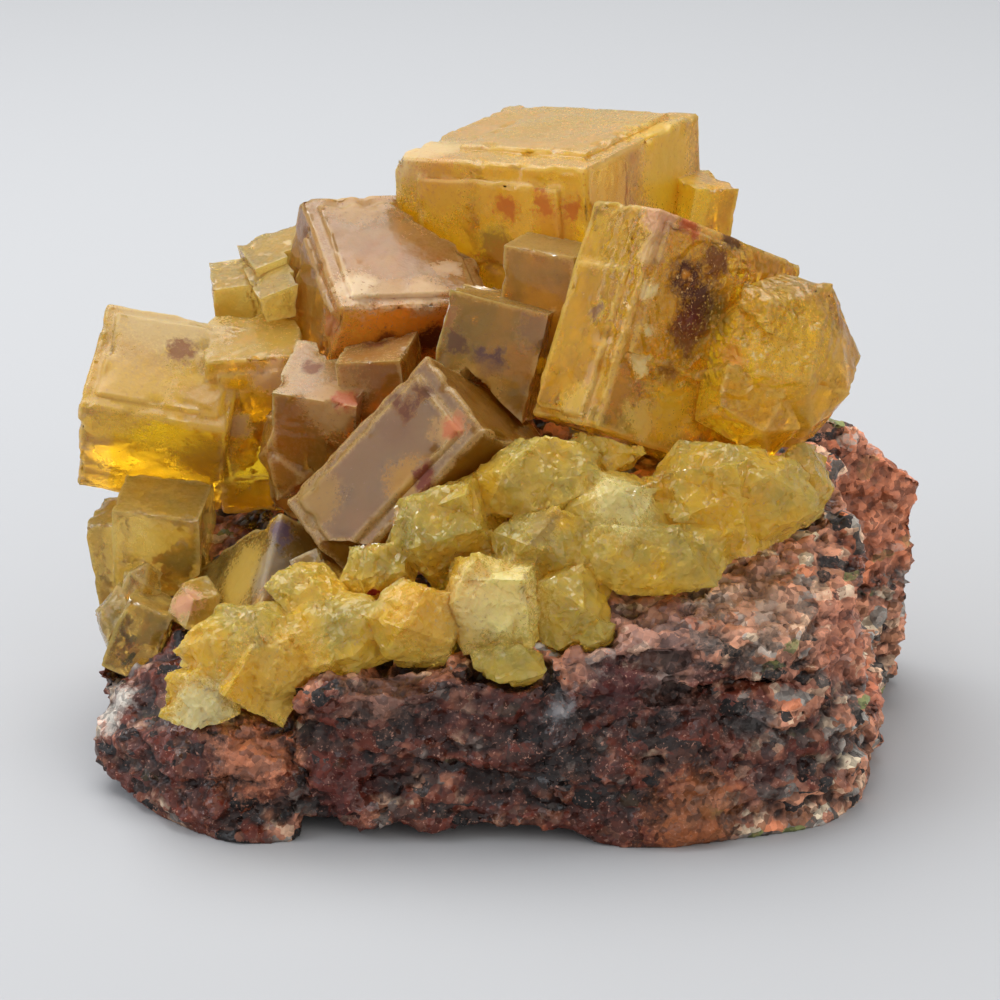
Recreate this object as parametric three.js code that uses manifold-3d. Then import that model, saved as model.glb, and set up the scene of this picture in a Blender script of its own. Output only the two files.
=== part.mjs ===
// A cabinet specimen of yellow fluorite: intergrown and twinned cubes on a lump of pink granite.
// Millimetres, +Z up, -Y towards the viewer of the show side, Z = 0 on the surface that the granite stands on.
// The last lines move the whole specimen level, to bring the middle of its footprint to the origin.
import * as THREE from "three";
import { ConvexGeometry } from "three/addons/geometries/ConvexGeometry.js";
import { mergeVertices } from "three/addons/utils/BufferGeometryUtils.js";
import Module from "manifold-3d";

const wasm = await Module();
wasm.setup();

// Driving dimensions
const CONTACT_GAP = 0.3; // between two solids that touch
const WORN_EDGE = 0.2; // width of the worn edge on a large cube
const LARGE_CUBE = 6.5; // shortest edge of a cube that is drawn with worn edges
const ROOT_DEPTH = 1.6; // how deep the crystals are set into the granite
const LUMP_SPACING = 3.2; // between the lumps of the broken granite
const LUMP_RELIEF = 0.85; // how far those lumps stand out
const LEDGE_SPACING = 2.9; // between the flat-lying ledges of the granite
const LEDGE_RELIEF = 0.7; // how far a ledge stands out or steps back
const FRAGMENT_POINTS = 12; // usual number of corners of a broken crystal fragment
const FRAGMENT_RAGGEDNESS = 0.34; // how unevenly those corners stand out
const GOLDEN_ANGLE = Math.PI * (3 - Math.sqrt(5));
const UNDERSIDE = { reach: 80, depth: 12 }; // what is sawn off below the resting plane
const MERGE = 1e-4;

const FLUORITE = { roughness: 0.15, metalness: 0 };
const GRANITE = { color: "#96604f", roughness: 0.9, metalness: 0 };

const vec = (p) => new THREE.Vector3(...p);
const mix = (a, b, t) => a + (b - a) * t;

// Repeatable noise: a hash of a lattice point, and its smooth blend between lattice points.
function hash(x, y, z) {
  const s = Math.sin(x * 127.1 + y * 311.7 + z * 74.7) * 43758.5453;
  return s - Math.floor(s);
}

function smoothNoise(x, y, z) {
  const cell = [x, y, z].map(Math.floor);
  const part = [x - cell[0], y - cell[1], z - cell[2]].map((t) => t * t * (3 - 2 * t));
  const line = (j, k) => mix(hash(cell[0], j, k), hash(cell[0] + 1, j, k), part[0]);
  const sheet = (k) => mix(line(cell[1], k), line(cell[1] + 1, k), part[1]);
  return mix(sheet(cell[2]), sheet(cell[2] + 1), part[2]) * 2 - 1;
}

// A closed geometry to a solid that can be joined and cut.
function toSolid(geometry) {
  const bare = geometry.clone();
  bare.deleteAttribute("normal");
  bare.deleteAttribute("uv");
  const merged = mergeVertices(bare, MERGE);
  return new wasm.Manifold(
    new wasm.Mesh({
      numProp: 3,
      vertProperties: merged.attributes.position.array,
      triVerts: new Uint32Array(merged.index.array),
    }),
  );
}

const join = (solids) => solids.reduce((a, b) => a.add(b));
const cut = (solid, tools) => tools.reduce((a, b) => a.subtract(b), solid);

// The solid back to geometry, keeping its largest connected piece: a cut can leave crumbs behind.
function toGeometry(solid) {
  const { vertProperties, triVerts, numProp } = solid.getMesh();
  const owner = Array.from({ length: vertProperties.length / numProp }, (_, i) => i);
  const find = (i) => {
    let root = i;
    while (owner[root] !== root) root = owner[root];
    owner[i] = root;
    return root;
  };
  for (let t = 0; t < triVerts.length; t += 3) {
    owner[find(triVerts[t])] = find(triVerts[t + 1]);
    owner[find(triVerts[t + 1])] = find(triVerts[t + 2]);
  }
  const pieces = new Map();
  for (let t = 0; t < triVerts.length; t += 3) {
    const key = find(triVerts[t]);
    if (!pieces.has(key)) pieces.set(key, []);
    pieces.get(key).push(...triVerts.subarray(t, t + 3));
  }
  const [largest] = [...pieces.values()].sort((a, b) => b.length - a.length);
  const geometry = new THREE.BufferGeometry();
  geometry.setAttribute("position", new THREE.BufferAttribute(vertProperties, numProp));
  geometry.setIndex(largest);
  return geometry;
}

// A crystal's own axes: along one edge, along the next, and down into the crystal.
function edgeDirections(along, back) {
  const u = vec(along).normalize();
  const v = vec(back).addScaledVector(u, -u.dot(vec(back))).normalize();
  const w = new THREE.Vector3().crossVectors(u, v);
  return w.z > 0 ? [u, v, w.negate()] : [u, v, w];
}

// A block in a crystal's own axes between two opposite corners, with its edges worn to narrow bevels.
function block(origin, axes, from, to, bevel) {
  const points = [];
  for (let corner = 0; corner < 8; corner += 1) {
    const high = [0, 1, 2].map((i) => (corner >> i) & 1);
    for (const proud of bevel ? [0, 1, 2] : [0]) {
      const point = origin.clone();
      high.forEach((isHigh, i) => {
        const inset = i === proud ? 0 : bevel;
        point.addScaledVector(axes[i], isHigh ? to[i] - inset : from[i] + inset);
      });
      points.push(point);
    }
  }
  return toSolid(new ConvexGeometry(points));
}

// One fluorite cube from its leading top corner, two edge directions and its edge lengths.
// Each layer is a growth layer on its faces, as its two opposite corners in the crystal's own axes.
// grow makes everything larger all round, with sharp edges: that is the tool which leaves the contact gap
// in a neighbour.
function cube({ corner, along, back, size, layers = [] }, grow) {
  const axes = edgeDirections(along, back);
  const bevel = grow || Math.min(...size) < LARGE_CUBE ? 0 : WORN_EDGE;
  const grown = ([from, to]) =>
    block(vec(corner), axes, from.map((a) => a - grow), to.map((b) => b + grow), bevel);
  return join([[[0, 0, 0], size], ...layers].map(grown));
}

// A broken fragment: the hull of points spread over an ellipsoid and pushed in or out by the seed.
function fragment({ at, size, turn = 0, seed = 1, corners = FRAGMENT_POINTS }, grow = 0) {
  const points = [];
  for (let i = 0; i < corners; i += 1) {
    const height = 1 - (2 * i + 1) / corners;
    const ring = Math.sqrt(1 - height * height);
    const angle = i * GOLDEN_ANGLE + seed * 1.7;
    const reach = 1 - FRAGMENT_RAGGEDNESS / 2 + FRAGMENT_RAGGEDNESS * hash(i, seed, 3);
    const point = new THREE.Vector3(ring * Math.cos(angle), height, ring * Math.sin(angle));
    point.multiplyScalar(reach).multiply(vec(size.map((s) => s / 2 + grow)));
    point.applyAxisAngle(vec([0, 1, 0]), THREE.MathUtils.degToRad(turn));
    points.push(point.add(vec(at)));
  }
  return toSolid(new ConvexGeometry(points));
}

// A lump of broken granite. Its four long edges run from left to right, and the block between them is laid
// out as a grid. sink lowers its top and leaves it smooth: that is the bed that the crystals are rooted in.
function granite({ frontFoot, backFoot, frontRim, backRim, crown = 0, cells, bedCells }, sink = 0) {
  const box = new THREE.BoxGeometry(1, 1, 1, ...(sink ? bedCells : cells));
  box.deleteAttribute("normal");
  box.deleteAttribute("uv");
  const grid = mergeVertices(box, MERGE);
  const { position } = grid.attributes;
  const onEdge = (edge, s) => {
    const place = Math.min(Math.max(s, 0), 1) * (edge.length - 1);
    const first = Math.min(Math.floor(place), edge.length - 2);
    return vec(edge[first]).lerp(vec(edge[first + 1]), place - first);
  };
  for (let i = 0; i < position.count; i += 1) {
    const [s, t, h] = [position.getX(i) + 0.5, position.getY(i) + 0.5, position.getZ(i) + 0.5];
    const foot = onEdge(frontFoot, s).lerp(onEdge(backFoot, s), t);
    const rim = onEdge(frontRim, s).lerp(onEdge(backRim, s), t);
    rim.z += crown * 4 * t * (1 - t) - sink;
    const point = foot.lerp(rim, h);
    if (!sink) roughen(point, s, t);
    position.setXYZ(i, ...point.toArray());
  }
  return toSolid(grid);
}

// Broken granite: flat-lying ledges that step in and out, under lumps of two sizes.
function roughen(point, s, t) {
  const [x, y, z] = point.toArray();
  const level = Math.floor(z / LEDGE_SPACING + 0.5 * smoothNoise(x / 8, y / 8, 7));
  const outward = new THREE.Vector3(s - 0.5, t - 0.5, 0).normalize();
  const lump = (seed) =>
    smoothNoise(x / LUMP_SPACING + seed, y / LUMP_SPACING, z / LUMP_SPACING - seed) +
    0.5 * smoothNoise((2.2 * x) / LUMP_SPACING, (2.2 * y) / LUMP_SPACING + seed, (2.2 * z) / LUMP_SPACING);
  point.addScaledVector(outward, LEDGE_RELIEF * smoothNoise(level * 5.3, x / 10, y / 10));
  point.add(new THREE.Vector3(lump(11), lump(23), lump(37)).multiplyScalar(LUMP_RELIEF / 1.5));
}

// A crack: a wedge along a line on the rock's face, widest at the face and narrow at its root.
function crack({ from, to, inward, depth, width }) {
  const into = vec(inward).normalize();
  const across = vec(to).sub(vec(from)).cross(into).normalize();
  const points = [];
  for (const end of [vec(from), vec(to)]) {
    for (const side of [-0.5, 0.5]) {
      points.push(end.clone().addScaledVector(into, -depth).addScaledVector(across, side * width * 1.8));
      points.push(end.clone().addScaledVector(into, depth).addScaledVector(across, side * width * 0.3));
    }
  }
  return toSolid(new ConvexGeometry(points));
}

// The fluorite, in the order in which each crystal keeps its shape against the ones after it.
const crystals = [
  {
    name: "right_crystal",
    color: "#d9a93f",
    cubes: [
      {
        corner: [10.1, -3, 37.2],
        along: [0.76, 0.47, -0.44],
        back: [-0.58, 0.8, -0.14],
        size: [12.4, 7.2, 14.4],
        layers: [[[0.6, -0.35, 0.5], [7.2, 1, 9.4]], [[-0.3, 1.3, 4], [1, 6.6, 14]]],
      },
    ],
    fragments: [
      { at: [17.2, -0.4, 26.3], size: [10.6, 10, 11.8], turn: 20, seed: 4, corners: 36 },
      { at: [15.8, -3.4, 24.6], size: [8, 6.6, 7], turn: 30, seed: 9, corners: 18 },
      { at: [17.4, -2.2, 30], size: [7, 4.4, 3.4], turn: 34, seed: 13 },
    ],
  },
  {
    name: "top_crystal",
    color: "#d8a02c",
    cubes: [
      {
        corner: [5.6, 6, 37.3],
        along: [-0.88, 0.48, -0.07],
        back: [0.48, 0.88, 0],
        size: [14.6, 16.8, 14.5],
        layers: [[[1.4, 3, -0.3], [11.2, 15.4, 1]], [[2, -0.3, 1.2], [12.8, 1, 7]]],
      },
      { corner: [13.2, 15.4, 33.4], along: [0.86, 0.5, -0.12], back: [-0.5, 0.86, 0.1], size: [3.6, 4, 6.5] },
    ],
    chips: [
      { at: [-7.8, 13.6, 37.2], size: [4, 6.4, 2.4], turn: 12, seed: 2 },
      { at: [-5.6, 20.6, 38], size: [6, 6, 3], seed: 8 },
    ],
  },
  {
    name: "upper_left_crystal",
    color: "#c98a3c",
    cubes: [
      {
        corner: [-10.3, 2, 29.1],
        along: [0.95, 0.31, -0.06],
        back: [-0.26, 0.88, 0.4],
        size: [10.6, 11.6, 10.5],
        layers: [[[0.9, 0.8, -0.25], [9.6, 10.6, 1]], [[-0.25, 0.8, 1], [1, 9, 9]]],
      },
    ],
  },
  {
    name: "centre_crystal",
    color: "#b98443",
    cubes: [
      {
        corner: [-4.7, -3, 27.7],
        along: [-0.68, -0.04, -0.73],
        back: [0.51, -0.74, -0.43],
        size: [13.4, 7.4, 11],
        layers: [[[1.2, 0.8, -0.25], [12.6, 6.4, 1]]],
      },
    ],
    chips: [{ at: [-9.8, -9.4, 15.2], size: [11, 6, 5], turn: 14, seed: 5 }],
  },
  {
    name: "left_twin",
    color: "#cf9330",
    cubes: [
      {
        corner: [-17.8, 2, 20.7],
        along: [-0.98, 0.06, 0.17],
        back: [0.14, 0.82, 0.55],
        size: [9.8, 8.8, 9.2],
        layers: [[[0.7, 0.9, -0.25], [9, 8, 1]]],
      },
      {
        corner: [-19.5, 4.6, 24.6],
        along: [1, 0, 0.08],
        back: [0.15, 0.97, 0.16],
        size: [6.5, 7, 11.5],
        layers: [[[0.8, -0.2, 0.8], [5.6, 1, 9]]],
      },
    ],
    chips: [{ at: [-27.6, 3, 18], size: [2.6, 4, 6], seed: 4 }],
  },
  {
    name: "purple_edged_crystal",
    color: "#a9825c",
    cubes: [
      { corner: [3.1, 0, 29.3], along: [-0.95, 0.23, 0.19], back: [0.19, 0.96, -0.2], size: [6.6, 6.4, 7.4] },
      { corner: [4.8, 1.6, 32.6], along: [-0.9, 0.4, 0.05], back: [0.4, 0.9, -0.05], size: [5, 5, 7] },
    ],
  },
  {
    name: "zoned_crystal",
    color: "#b99a55",
    cubes: [
      {
        corner: [-14.1, -3, 17.1],
        along: [-0.56, 0.59, -0.58],
        back: [-0.17, -0.77, -0.61],
        size: [11, 9.5, 9],
      },
      {
        corner: [-9.4, -5.6, 16.6],
        along: [-0.9, -0.1, -0.42],
        back: [0.3, -0.85, -0.44],
        size: [4.4, 4.4, 7],
      },
    ],
    fragments: [{ at: [-9.2, -6.4, 14.8], size: [4.8, 4, 4.6], seed: 3 }],
  },
  {
    name: "inner_crystals",
    color: "#c78a5a",
    cubes: [
      { corner: [-6.4, -0.6, 26.4], along: [-0.86, 0.2, -0.1], back: [0.2, 0.96, 0.1], size: [4.4, 5, 6] },
      { corner: [-9.2, -1.6, 23.6], along: [-0.92, 0.2, 0.1], back: [0.1, 0.9, 0.3], size: [5.6, 6, 7] },
      { corner: [-10.4, 0.6, 20.6], along: [-0.8, 0.5, 0.1], back: [0.5, 0.8, 0.2], size: [6, 7, 7.4] },
    ],
    fragments: [{ at: [-13.2, 3.4, 19], size: [6.4, 6, 6.6], seed: 6 }],
  },
  {
    name: "back_left_crystals",
    color: "#dcb23a",
    cubes: [
      { corner: [-16, 9, 27.6], along: [0.92, 0.2, 0.3], back: [-0.2, 0.96, 0.1], size: [4.6, 5.6, 9] },
      { corner: [-16.4, 12.6, 28.6], along: [0.9, 0.3, 0.28], back: [-0.3, 0.9, 0.1], size: [5, 4.6, 10] },
      { corner: [-19.4, 12.4, 27.2], along: [0.97, 0.1, 0.1], back: [-0.1, 0.97, 0.16], size: [3.6, 4.4, 9] },
    ],
    fragments: [
      { at: [-14, 13, 20.4], size: [9, 8, 9], seed: 2 },
      { at: [-19, 12, 17.4], size: [7, 7, 8], seed: 8 },
    ],
  },
  {
    name: "left_edge_crystals",
    color: "#c4b04c",
    cubes: [
      { corner: [-19.6, 0.4, 15.2], along: [-0.94, 0.1, 0.06], back: [0.1, 0.94, 0.2], size: [5.8, 6, 6.4] },
      { corner: [-24.4, 2.6, 14], along: [-0.96, 0.2, -0.1], back: [0.2, 0.95, 0.1], size: [3.2, 4.4, 6] },
      { corner: [-21.2, -3.6, 9.9], along: [-0.86, 0.16, 0.34], back: [0.1, 0.98, -0.1], size: [3.2, 4, 5] },
    ],
    fragments: [
      { at: [-24.9, 0.6, 8], size: [4, 5, 6.2], seed: 5 },
      { at: [-23.6, 0.4, 10.8], size: [2.8, 3, 3], seed: 7 },
      { at: [-19.6, -3.6, 10.6], size: [4.6, 5, 4.2], seed: 9 },
    ],
  },
  {
    name: "front_crust",
    color: "#d6c25a",
    cubes: [
      { corner: [-14.6, -15.4, 13.6], along: [0.6, 0.34, -0.5], back: [-0.6, 0.8, 0.1], size: [5, 6, 4.6] },
      { corner: [8, -11.6, 21.4], along: [-0.7, 0.5, -0.4], back: [0.6, 0.8, 0.06], size: [4.2, 4.6, 5] },
      { corner: [-2.2, -11, 21], along: [-0.86, 0.2, -0.4], back: [0.3, 0.9, 0.2], size: [5, 5, 5.6] },
      { corner: [1.4, -15.6, 17.2], along: [-0.9, 0.3, -0.1], back: [0.4, 0.9, 0.1], size: [4.4, 4, 4.6] },
      { corner: [14.6, -11, 23], along: [-0.8, 0.4, -0.2], back: [0.4, 0.9, -0.1], size: [5.6, 5, 6] },
    ],
    fragments: [
      { at: [-3.5, -9, 17.8], size: [8.4, 6.8, 7], seed: 1 },
      { at: [2.2, -8, 21], size: [8.8, 6, 6.2], turn: -8, seed: 2 },
      { at: [7.4, -9.6, 19.4], size: [6.2, 5.6, 5.6], seed: 3 },
      { at: [14.4, -7.8, 19.6], size: [11, 7.4, 7.8], turn: 14, seed: 4, corners: 20 },
      { at: [8.9, -11.2, 17], size: [10.6, 5.4, 5.6], turn: 6, seed: 5, corners: 18 },
      { at: [-0.6, -13, 14.8], size: [7.4, 5.8, 6.6], seed: 6 },
      { at: [4, -12.6, 14.4], size: [6, 5, 6], seed: 7 },
      { at: [-5, -13.4, 13.2], size: [7.2, 6, 7], seed: 8 },
      { at: [-10.4, -12.6, 12.2], size: [9, 6.4, 6.6], turn: -20, seed: 9, corners: 18 },
      { at: [-15.2, -13, 10.8], size: [9.2, 6.4, 8], turn: 16, seed: 10, corners: 20 },
      { at: [-18.4, -14, 8.8], size: [5, 3.4, 5.4], turn: 34, seed: 11 },
      { at: [-7.6, -9.6, 15.4], size: [6, 5, 5.4], seed: 12 },
      { at: [0.4, -15, 11.6], size: [5.4, 3, 3.2], seed: 13 },
      { at: [5.9, -14, 13], size: [3, 2.6, 3], seed: 14 },
      { at: [12.6, -10.4, 17.4], size: [6, 4.6, 5], seed: 15 },
      { at: [19, -5, 19.4], size: [5, 5, 5.6], seed: 16 },
      { at: [6.4, -5.8, 22], size: [6.4, 5, 4.6], seed: 17 },
      { at: [-11.6, -10.4, 14.2], size: [6, 5, 3.8], turn: 24, seed: 18 },
      { at: [2.6, -10.4, 17.4], size: [7.6, 5.4, 6.2], seed: 19 },
    ],
  },
  {
    name: "back_crust",
    color: "#cfa640",
    cubes: [
      { corner: [12.6, 20.6, 27], along: [-0.8, 0.4, 0.2], back: [-0.4, -0.8, -0.1], size: [7, 5, 7] },
      { corner: [2, 20, 25.6], along: [-0.9, 0.1, -0.2], back: [0.1, -0.9, 0.1], size: [6.4, 6, 6] },
      { corner: [15.6, 8.6, 26.8], along: [0.7, 0.7, -0.2], back: [-0.7, 0.7, 0.1], size: [5.6, 5.4, 8] },
    ],
    fragments: [
      { at: [-3.4, 18, 21.4], size: [9, 7, 7], seed: 3 },
      { at: [4.6, 18.6, 23], size: [11, 7, 7.4], seed: 5 },
      { at: [12.4, 16, 22.4], size: [9, 8, 8], seed: 9 },
      { at: [-8.6, 17, 20.4], size: [7, 6, 7], seed: 10 },
      { at: [17.6, 10.8, 22], size: [7.6, 8, 6.4], seed: 12 },
      { at: [15.4, 4, 21.4], size: [7, 8, 5], seed: 14 },
    ],
  },
];

const rocks = [
  {
    // The main slab, under nearly all of the fluorite
    frontFoot: [
      [-12.8, -15.6, 1.4], [-4, -16.4, 0.8], [4, -17, 0.4],
      [12, -17.4, -0.6], [20.2, -14.6, -0.6], [23.6, -9, 0.4],
    ],
    backFoot: [
      [-14, 17, -2.2], [-6, 19, -2.2], [2, 20, -2.2],
      [10, 19.6, -2.2], [17, 16, -1.8], [22, 6, -0.8],
    ],
    frontRim: [
      [-12.2, -15.6, 9.2], [-5, -16, 10], [3, -15.8, 11.2],
      [12, -15.2, 12.6], [18.4, -13.8, 13], [23, -8.8, 13],
    ],
    backRim: [
      [-13.6, 16, 13.6], [-6, 18, 18], [2, 19, 21],
      [9.6, 18.6, 21.4], [15.6, 15.6, 20], [21.4, 5.4, 17],
    ],
    crown: 2.8,
    cells: [17, 9, 8],
    bedCells: [6, 5, 1],
  },
  {
    // The lower lump at the left end, under the crystals that overhang it
    frontFoot: [[-25.6, -9, 1.2], [-18.8, -16.6, -0.6], [-12.6, -16.8, 0.2]],
    backFoot: [[-23.4, 9, 0.4], [-18, 13, -1.2], [-11, 14, -1.6]],
    frontRim: [[-26, -6.4, 4.6], [-19.8, -14.6, 6], [-11.8, -15.6, 7.4]],
    backRim: [[-25, 8, 8], [-19, 12.4, 13], [-11, 14, 14.6]],
    crown: 1,
    cells: [7, 8, 4],
    bedCells: [3, 3, 1],
  },
  {
    // The block behind a deep crack at the right end
    frontFoot: [[20, 3.6, 0.4], [27.2, 6, 1.4]],
    backFoot: [[16, 16, -1], [25.8, 14.6, 0.6]],
    frontRim: [[20.6, 4.6, 21.4], [28, 7.4, 15.8]],
    backRim: [[16, 15, 19], [25.8, 14, 14]],
    cells: [5, 6, 9],
    bedCells: [2, 2, 1],
  },
  {
    // The small foot at the right end
    frontFoot: [[19.4, -9.4, -0.6], [23.6, -8.6, -0.6]],
    backFoot: [[19.4, 0.6, -0.6], [25, 0.4, -0.6]],
    frontRim: [[19.4, -8.6, 5.4], [24.6, -7, 4.8]],
    backRim: [[19.4, 0.6, 6], [25.4, 0.4, 5.4]],
    cells: [3, 4, 3],
    bedCells: [1, 1, 1],
  },
];

const cracks = [
  { from: [-16.4, -15.4, 8.4], to: [-12.2, -17, 3.4], inward: [0.4, 1, 0.2], depth: 2.6, width: 1.2 },
  { from: [-12.2, -17.2, 3.8], to: [-13.4, -17.6, -0.4], inward: [0.6, 1, 0], depth: 2.8, width: 0.8 },
  { from: [-12, -16.6, 7.4], to: [3, -17.4, 8.6], inward: [0, 1, 0], depth: 1.5, width: 0.6 },
  { from: [4, -17.4, 9.4], to: [23, -12.4, 9.8], inward: [-0.1, 1, 0], depth: 2, width: 0.8 },
  { from: [7, -17, 11.2], to: [13.4, -17, 11.4], inward: [0, 1, 0.2], depth: 2.2, width: 1.5 },
  { from: [-6, -17.4, 3.8], to: [21, -16.4, 4.6], inward: [0, 1, 0], depth: 1.4, width: 0.5 },
  { from: [23.6, 1.6, 2], to: [22.2, 3.6, 19.4], inward: [-1, 0.3, 0], depth: 3.4, width: 0.9 },
];

const everyCube = (crystal, grow) => (crystal.cubes ?? []).map((c) => cube(c, grow));
const everyFragment = (crystal, grow) => (crystal.fragments ?? []).map((f) => fragment(f, grow));
const whole = (crystal, grow) => join([...everyCube(crystal, grow), ...everyFragment(crystal, grow)]);

const bed = join(rocks.map((rock) => granite(rock, ROOT_DEPTH)));
const deepBed = join(rocks.map((rock) => granite(rock, ROOT_DEPTH + CONTACT_GAP)));

const solids = new Map();
const taken = [];
for (const crystal of crystals) {
  const chips = (crystal.chips ?? []).map((c) => fragment(c));
  solids.set(crystal.name, cut(whole(crystal, 0), [bed, ...taken, ...chips]));
  taken.push(whole(crystal, CONTACT_GAP));
}

const { reach, depth } = UNDERSIDE;
const sawn = toSolid(new THREE.BoxGeometry(reach, reach, depth).translate(0, 0, -depth / 2));
const sockets = taken.map((tool) => tool.subtract(deepBed));
const roughRock = join(rocks.map((rock) => granite(rock)));
solids.set("granite_matrix", cut(roughRock, [...sockets, ...cracks.map(crack), sawn]));

const specimen = new THREE.Group();
for (const [name, solid] of solids) {
  const crystal = crystals.find((c) => c.name === name);
  const finish = crystal ? { ...FLUORITE, color: crystal.color } : GRANITE;
  const mesh = new THREE.Mesh(toGeometry(solid), new THREE.MeshStandardMaterial(finish));
  mesh.name = name;
  specimen.add(mesh);
}

const bounds = new THREE.Box3().setFromObject(specimen, true);
const middle = bounds.getCenter(new THREE.Vector3());
specimen.position.set(-middle.x, -middle.y, -bounds.min.z);

export default specimen;
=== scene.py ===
# %% [markdown]
# # A twinned fluorite specimen on granite
#
# This lesson dresses a finished solid model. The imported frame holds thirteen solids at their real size: one
# lump of granite and twelve crystals, twins and crusts of fluorite. Blender never moves them. Here each
# solid is copied, its copy gets a fine surface, and the copy then stands for the solid.
#
# The frame is in metres. A mineral collector thinks in millimetres, so `mm` turns one into the other.

# %% Load the frame
import math

import bmesh
import bpy
import numpy as np
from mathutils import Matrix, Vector, kdtree, noise


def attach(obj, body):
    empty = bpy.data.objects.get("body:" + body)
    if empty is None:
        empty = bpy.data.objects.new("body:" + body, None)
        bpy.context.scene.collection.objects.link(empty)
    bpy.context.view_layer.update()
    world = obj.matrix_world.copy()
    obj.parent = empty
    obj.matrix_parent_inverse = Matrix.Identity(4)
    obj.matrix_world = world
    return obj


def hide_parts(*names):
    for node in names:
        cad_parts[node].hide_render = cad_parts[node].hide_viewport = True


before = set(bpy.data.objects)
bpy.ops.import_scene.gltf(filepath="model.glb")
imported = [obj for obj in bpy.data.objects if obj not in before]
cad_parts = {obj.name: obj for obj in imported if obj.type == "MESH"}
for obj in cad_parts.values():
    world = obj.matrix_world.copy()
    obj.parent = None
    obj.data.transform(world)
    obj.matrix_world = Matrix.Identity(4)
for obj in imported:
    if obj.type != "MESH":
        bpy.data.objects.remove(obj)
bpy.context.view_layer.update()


def mm(value):
    """Millimetres to metres."""
    return value / 1000


# %% [markdown]
# ## The camera
#
# A specimen this small is photographed from a hand's breadth away, looking down on it a little. The lens is
# long, so the cubes keep their edges nearly parallel. `SHOW_CENTRE` is the point that the picture is
# centred on: the middle of the specimen's show side, measured in the frame.

# %% Camera
SHOW_CENTRE = Vector((mm(0.04), mm(-4.99), mm(16.7)))
CAMERA_DISTANCE = mm(240)
CAMERA_ELEVATION = math.radians(20)
LENS_MM = 132.9

camera = bpy.data.objects.new("camera", bpy.data.cameras.new("camera"))
bpy.context.scene.collection.objects.link(camera)
camera.data.lens = LENS_MM
camera.data.clip_start = mm(10)
camera.location = SHOW_CENTRE + CAMERA_DISTANCE * Vector(
    (0, -math.cos(CAMERA_ELEVATION), math.sin(CAMERA_ELEVATION))
)
camera.rotation_euler = (math.pi / 2 - CAMERA_ELEVATION, 0, 0)
bpy.context.scene.camera = camera
print("camera at", [round(c * 1000) for c in camera.location], "mm")

# %% [markdown]
# ## Two helpers
#
# Two small functions serve every material of this lesson. Colours are written as sRGB hex values, as a
# picture editor shows them, and `linear` turns them into the numbers that shaders work with. `add` makes one
# node, gives it its settings, and links or sets its sockets.

# %% Colour and node helpers
def linear(hex_colour):
    """An sRGB hex colour as the linear RGBA that shaders work in."""
    channels = [int(hex_colour[i : i + 2], 16) / 255 for i in (1, 3, 5)]
    return (*(c / 12.92 if c <= 0.04045 else ((c + 0.055) / 1.055) ** 2.4 for c in channels), 1.0)


def add(tree, kind, settings=None, **sockets):
    """Adds a node. A socket is given by name, or by number as s0, s1, and takes a value or an output."""
    node = tree.nodes.new(kind)
    for name, value in (settings or {}).items():
        setattr(node, name, value)
    for name, value in sockets.items():
        key = int(name[1:]) if name[1:].isdigit() and name[0] == "s" else name.replace("_", " ")
        socket = node.inputs[key]
        if isinstance(value, bpy.types.NodeSocket):
            tree.links.new(value, socket)
        else:
            socket.default_value = value
    return node


# %% [markdown]
# ## Floor and light
#
# Clear crystals show what they reflect and what lies behind them, so the light matters more than for a dull
# object. One large soft light stands above and behind: it fills the crystals from the back, as daylight
# does, and draws pale reflections on their top faces. A weaker one at the front right keeps the granite
# readable. The floor is a plain pale sheet. The view transform is Standard, which keeps the honey yellow as
# it is mixed.

# %% Floor
FLOOR_SIZE = 4.0
FLOOR_GREY = "#b6b7b9"
PAPER_ROUGHNESS = 0.9

floor_mesh = bpy.data.meshes.new("floor")
half = FLOOR_SIZE / 2
floor_mesh.from_pydata(
    [(-half, -half, 0), (half, -half, 0), (half, half, 0), (-half, half, 0)], [], [(0, 1, 2, 3)]
)
floor = bpy.data.objects.new("floor", floor_mesh)
bpy.context.scene.collection.objects.link(floor)
paper = bpy.data.materials.new("matte studio paper")
paper.use_nodes = True
paper.node_tree.nodes["Principled BSDF"].inputs["Base Color"].default_value = linear(FLOOR_GREY)
paper.node_tree.nodes["Principled BSDF"].inputs["Roughness"].default_value = PAPER_ROUGHNESS
floor_mesh.materials.append(paper)
print("the floor is", FLOOR_SIZE, "m wide")


# %% Lights
def soft_light(name, place_mm, size_mm, watts, colour="#ffffff"):
    """A rectangular soft light that faces the specimen."""
    data = bpy.data.lights.new(name, "AREA")
    data.shape = "RECTANGLE"
    data.size = mm(size_mm[0])
    data.size_y = mm(size_mm[1])
    data.energy = watts
    data.color = linear(colour)[:3]
    light = bpy.data.objects.new(name, data)
    light.location = Vector(place_mm) / 1000
    light.rotation_euler = (SHOW_CENTRE - light.location).to_track_quat("-Z", "Y").to_euler()
    bpy.context.scene.collection.objects.link(light)


soft_light("overhead softbox", place_mm=(-60, 120, 320), size_mm=(320, 260), watts=1.1)
soft_light("left window", place_mm=(-300, -60, 160), size_mm=(220, 220), watts=0.35, colour="#f4f7ff")
soft_light("front right fill", place_mm=(260, -300, 200), size_mm=(260, 260), watts=0.3, colour="#fff6ea")

AIR_COLOUR = "#eceef0"
AIR_STRENGTH = 0.75

world = bpy.data.worlds.new("studio air")
world.use_nodes = True
world.node_tree.nodes["Background"].inputs["Color"].default_value = linear(AIR_COLOUR)
world.node_tree.nodes["Background"].inputs["Strength"].default_value = AIR_STRENGTH
bpy.context.scene.world = world
bpy.context.scene.view_settings.view_transform = "Standard"
print("three soft lights")

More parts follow.
